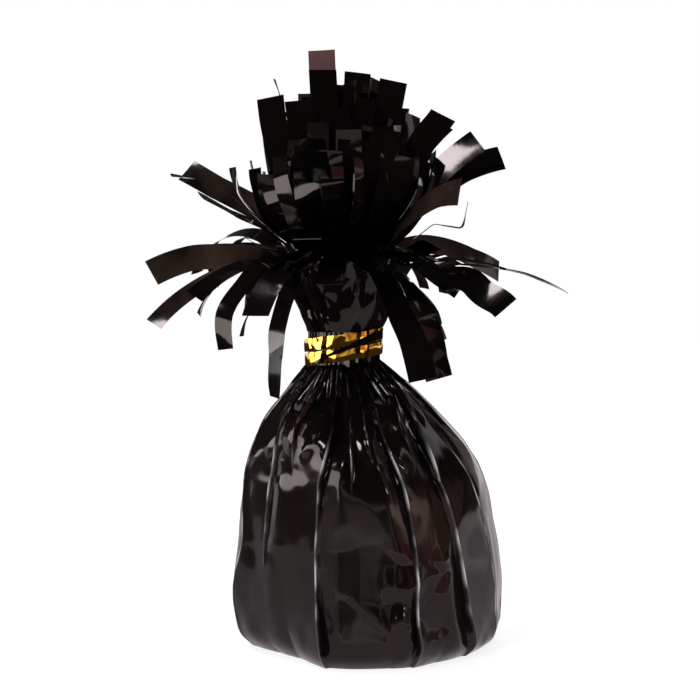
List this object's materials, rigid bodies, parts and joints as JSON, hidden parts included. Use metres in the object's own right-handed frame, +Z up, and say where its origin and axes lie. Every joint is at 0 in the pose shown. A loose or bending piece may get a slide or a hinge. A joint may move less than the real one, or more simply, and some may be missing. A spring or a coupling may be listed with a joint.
{
  "type": "balloon weight",
  "caption": "Balloon weight: a pouch of sand wrapped in shiny black film, gathered and tied at the neck with gold ribbon, the film above slit into a springy fringe.",
  "frame": {"origin": "middle of the flat base, under the body's widest part", "axes": "+Z up through the body to the fringe, -Y towards the viewer of the picture, +X to the viewer's right"},
  "size_m": [0.0933, 0.0794, 0.1327],
  "materials": {
    "black_film": "shiny black metallised film, creased",
    "gold_ribbon": "gold metallised ribbon, crinkled",
    "pouch_film": "thin clear film",
    "sand": "dry loose sand"
  },
  "bodies": {
    "wrapped_weight": {"sand_fill": "sand", "sand_bag": "pouch_film", "foil_skirt": "black_film", "foil_neck": "black_film", "gold_tie": "gold_ribbon", "tie_twist": "gold_ribbon", "stray_sliver": "black_film", "collar_hem": "black_film", "collar_middle": "black_film", "collar_inner": "black_film", "collar_core": "black_film"},
    "crown": {"crown_strips": "black_film"},
    "right_long": {"strip_right_long": "black_film"},
    "right_broad": {"strip_right_broad": "black_film"},
    "right_arched": {"strip_right_arched": "black_film"},
    "right_high": {"strip_right_high": "black_film"},
    "right_front": {"strip_right_front": "black_film"},
    "right_hooked": {"strip_right_hooked": "black_film"},
    "right_hanging": {"strip_right_hanging": "black_film"},
    "right_back": {"strip_right_back": "black_film"},
    "right_short": {"strip_right_short": "black_film"},
    "right_lifted": {"strip_right_lifted": "black_film"},
    "right_raised": {"strip_right_raised": "black_film"},
    "front_hanging": {"strip_front_hanging": "black_film"},
    "front_right": {"strip_front_right": "black_film"},
    "front_left": {"strip_front_left": "black_film"},
    "front_bowed": {"strip_front_bowed": "black_film"},
    "left_hanging": {"strip_left_hanging": "black_film"},
    "left_bowed": {"strip_left_bowed": "black_film"},
    "left_slant": {"strip_left_slant": "black_film"},
    "left_short": {"strip_left_short": "black_film"},
    "left_broad": {"strip_left_broad": "black_film"},
    "left_edge": {"strip_left_edge": "black_film"},
    "left_tucked": {"strip_left_tucked": "black_film"},
    "left_high": {"strip_left_high": "black_film"},
    "left_arched": {"strip_left_arched": "black_film"},
    "back_left": {"strip_back_left": "black_film"},
    "back_rise_left": {"strip_back_rise_left": "black_film"},
    "back_middle": {"strip_back_middle": "black_film"},
    "back_rise_right": {"strip_back_rise_right": "black_film"},
    "back_right": {"strip_back_right": "black_film"}
  },
  "joints": [
    {"name": "crown_sway", "type": "hinge", "parent": "wrapped_weight", "child": "crown", "pos_m": [-0.0055, 0, 0.0906], "axis": [0, 1, 0], "range_deg": [-4, 4], "stiffness_Nm_per_rad": 0.02},
    {"name": "right_long_flex", "type": "hinge", "parent": "wrapped_weight", "child": "right_long", "pos_m": [0.01011, -0.00109, 0.08515], "axis": [-0.0698, -0.9976, 0], "range_deg": [-15, 15], "stiffness_Nm_per_rad": 0.001},
    {"name": "right_broad_flex", "type": "hinge", "parent": "wrapped_weight", "child": "right_broad", "pos_m": [0.00844, -0.00711, 0.08515], "axis": [-0.454, -0.891, 0], "range_deg": [-15, 15], "stiffness_Nm_per_rad": 0.001},
    {"name": "right_arched_flex", "type": "hinge", "parent": "wrapped_weight", "child": "right_arched", "pos_m": [0.00596, 0.00535, 0.08765], "axis": [0.4226, -0.9063, 0], "range_deg": [-15, 15], "stiffness_Nm_per_rad": 0.001},
    {"name": "right_high_flex", "type": "hinge", "parent": "wrapped_weight", "child": "right_high", "pos_m": [0.00351, 0.00159, 0.08965], "axis": [0.1736, -0.9848, 0], "range_deg": [-15, 15], "stiffness_Nm_per_rad": 0.001},
    {"name": "right_front_flex", "type": "hinge", "parent": "wrapped_weight", "child": "right_front", "pos_m": [0.00313, -0.00925, 0.08765], "axis": [-0.7314, -0.682, 0], "range_deg": [-15, 15], "stiffness_Nm_per_rad": 0.001},
    {"name": "right_hooked_flex", "type": "hinge", "parent": "wrapped_weight", "child": "right_hooked", "pos_m": [0.00715, 0, 0.08765], "axis": [0, -1, 0], "range_deg": [-15, 15], "stiffness_Nm_per_rad": 0.001},
    {"name": "right_hanging_flex", "type": "hinge", "parent": "wrapped_weight", "child": "right_hanging", "pos_m": [0.0075, -0.00634, 0.0815], "axis": [-0.4384, -0.8988, 0], "range_deg": [-15, 15], "stiffness_Nm_per_rad": 0.001},
    {"name": "right_back_flex", "type": "hinge", "parent": "wrapped_weight", "child": "right_back", "pos_m": [0.00517, 0.01145, 0.08515], "axis": [0.7314, -0.682, 0], "range_deg": [-15, 15], "stiffness_Nm_per_rad": 0.001},
    {"name": "right_short_flex", "type": "hinge", "parent": "wrapped_weight", "child": "right_short", "pos_m": [0.00893, 0.00101, 0.0815], "axis": [0.0698, -0.9976, 0], "range_deg": [-15, 15], "stiffness_Nm_per_rad": 0.001},
    {"name": "right_lifted_flex", "type": "hinge", "parent": "wrapped_weight", "child": "right_lifted", "pos_m": [0.00242, -0.00458, 0.08965], "axis": [-0.5, -0.866, 0], "range_deg": [-15, 15], "stiffness_Nm_per_rad": 0.001},
    {"name": "right_raised_flex", "type": "hinge", "parent": "wrapped_weight", "child": "right_raised", "pos_m": [0.00038, 0.00701, 0.08965], "axis": [0.766, -0.6428, 0], "range_deg": [-15, 15], "stiffness_Nm_per_rad": 0.001},
    {"name": "front_hanging_flex", "type": "hinge", "parent": "wrapped_weight", "child": "front_hanging", "pos_m": [0.003, -0.01171, 0.0815], "axis": [-0.809, -0.5878, 0], "range_deg": [-15, 15], "stiffness_Nm_per_rad": 0.001},
    {"name": "front_right_flex", "type": "hinge", "parent": "wrapped_weight", "child": "front_right", "pos_m": [-0.00117, -0.01189, 0.08765], "axis": [-0.9397, -0.342, 0], "range_deg": [-15, 15], "stiffness_Nm_per_rad": 0.001},
    {"name": "front_left_flex", "type": "hinge", "parent": "wrapped_weight", "child": "front_left", "pos_m": [-0.00856, -0.01227, 0.08765], "axis": [-0.9703, 0.2419, 0], "range_deg": [-15, 15], "stiffness_Nm_per_rad": 0.001},
    {"name": "front_bowed_flex", "type": "hinge", "parent": "wrapped_weight", "child": "front_bowed", "pos_m": [-0.01285, -0.01382, 0.08515], "axis": [-0.8829, 0.4695, 0], "range_deg": [-15, 15], "stiffness_Nm_per_rad": 0.001},
    {"name": "left_hanging_flex", "type": "hinge", "parent": "wrapped_weight", "child": "left_hanging", "pos_m": [-0.01625, -0.00968, 0.0815], "axis": [-0.6691, 0.7431, 0], "range_deg": [-8, 15], "stiffness_Nm_per_rad": 0.001},
    {"name": "left_bowed_flex", "type": "hinge", "parent": "wrapped_weight", "child": "left_bowed", "pos_m": [-0.01731, -0.01027, 0.08515], "axis": [-0.6561, 0.7547, 0], "range_deg": [-15, 15], "stiffness_Nm_per_rad": 0.001},
    {"name": "left_slant_flex", "type": "hinge", "parent": "wrapped_weight", "child": "left_slant", "pos_m": [-0.0198, -0.00637, 0.08515], "axis": [-0.4067, 0.9135, 0], "range_deg": [-15, 15], "stiffness_Nm_per_rad": 0.001},
    {"name": "left_short_flex", "type": "hinge", "parent": "wrapped_weight", "child": "left_short", "pos_m": [-0.01667, -0.00594, 0.08765], "axis": [-0.4695, 0.8829, 0], "range_deg": [-15, 15], "stiffness_Nm_per_rad": 0.001},
    {"name": "left_broad_flex", "type": "hinge", "parent": "wrapped_weight", "child": "left_broad", "pos_m": [-0.02106, -0.00164, 0.08515], "axis": [-0.1045, 0.9945, 0], "range_deg": [-15, 15], "stiffness_Nm_per_rad": 0.001},
    {"name": "left_edge_flex", "type": "hinge", "parent": "wrapped_weight", "child": "left_edge", "pos_m": [-0.01815, 0.00022, 0.08765], "axis": [0.0175, 0.9998, 0], "range_deg": [-15, 15], "stiffness_Nm_per_rad": 0.001},
    {"name": "left_tucked_flex", "type": "hinge", "parent": "wrapped_weight", "child": "left_tucked", "pos_m": [-0.02081, 0.00325, 0.08515], "axis": [0.2079, 0.9781, 0], "range_deg": [-15, 15], "stiffness_Nm_per_rad": 0.001},
    {"name": "left_high_flex", "type": "hinge", "parent": "wrapped_weight", "child": "left_high", "pos_m": [-0.01372, 0.00401, 0.08965], "axis": [0.4384, 0.8988, 0], "range_deg": [-15, 15], "stiffness_Nm_per_rad": 0.001},
    {"name": "left_arched_flex", "type": "hinge", "parent": "wrapped_weight", "child": "left_arched", "pos_m": [-0.01863, 0.00852, 0.08515], "axis": [0.5446, 0.8387, 0], "range_deg": [-15, 15], "stiffness_Nm_per_rad": 0.001},
    {"name": "back_left_flex", "type": "hinge", "parent": "wrapped_weight", "child": "back_left", "pos_m": [-0.01379, 0.01327, 0.08515], "axis": [0.848, 0.5299, 0], "range_deg": [-15, 15], "stiffness_Nm_per_rad": 0.001},
    {"name": "back_rise_left_flex", "type": "hinge", "parent": "wrapped_weight", "child": "back_rise_left", "pos_m": [-0.01105, 0.01137, 0.08765], "axis": [0.8988, 0.4384, 0], "range_deg": [-15, 15], "stiffness_Nm_per_rad": 0.001},
    {"name": "back_middle_flex", "type": "hinge", "parent": "wrapped_weight", "child": "back_middle", "pos_m": [-0.00741, 0.01553, 0.08515], "axis": [0.9925, 0.1219, 0], "range_deg": [-15, 15], "stiffness_Nm_per_rad": 0.001},
    {"name": "back_rise_right_flex", "type": "hinge", "parent": "wrapped_weight", "child": "back_rise_right", "pos_m": [-0.00418, 0.01258, 0.08765], "axis": [0.9945, -0.1045, 0], "range_deg": [-15, 15], "stiffness_Nm_per_rad": 0.001},
    {"name": "back_right_flex", "type": "hinge", "parent": "wrapped_weight", "child": "back_right", "pos_m": [-0.00066, 0.01488, 0.08515], "axis": [0.9511, -0.309, 0], "range_deg": [-15, 15], "stiffness_Nm_per_rad": 0.001}
  ]
}
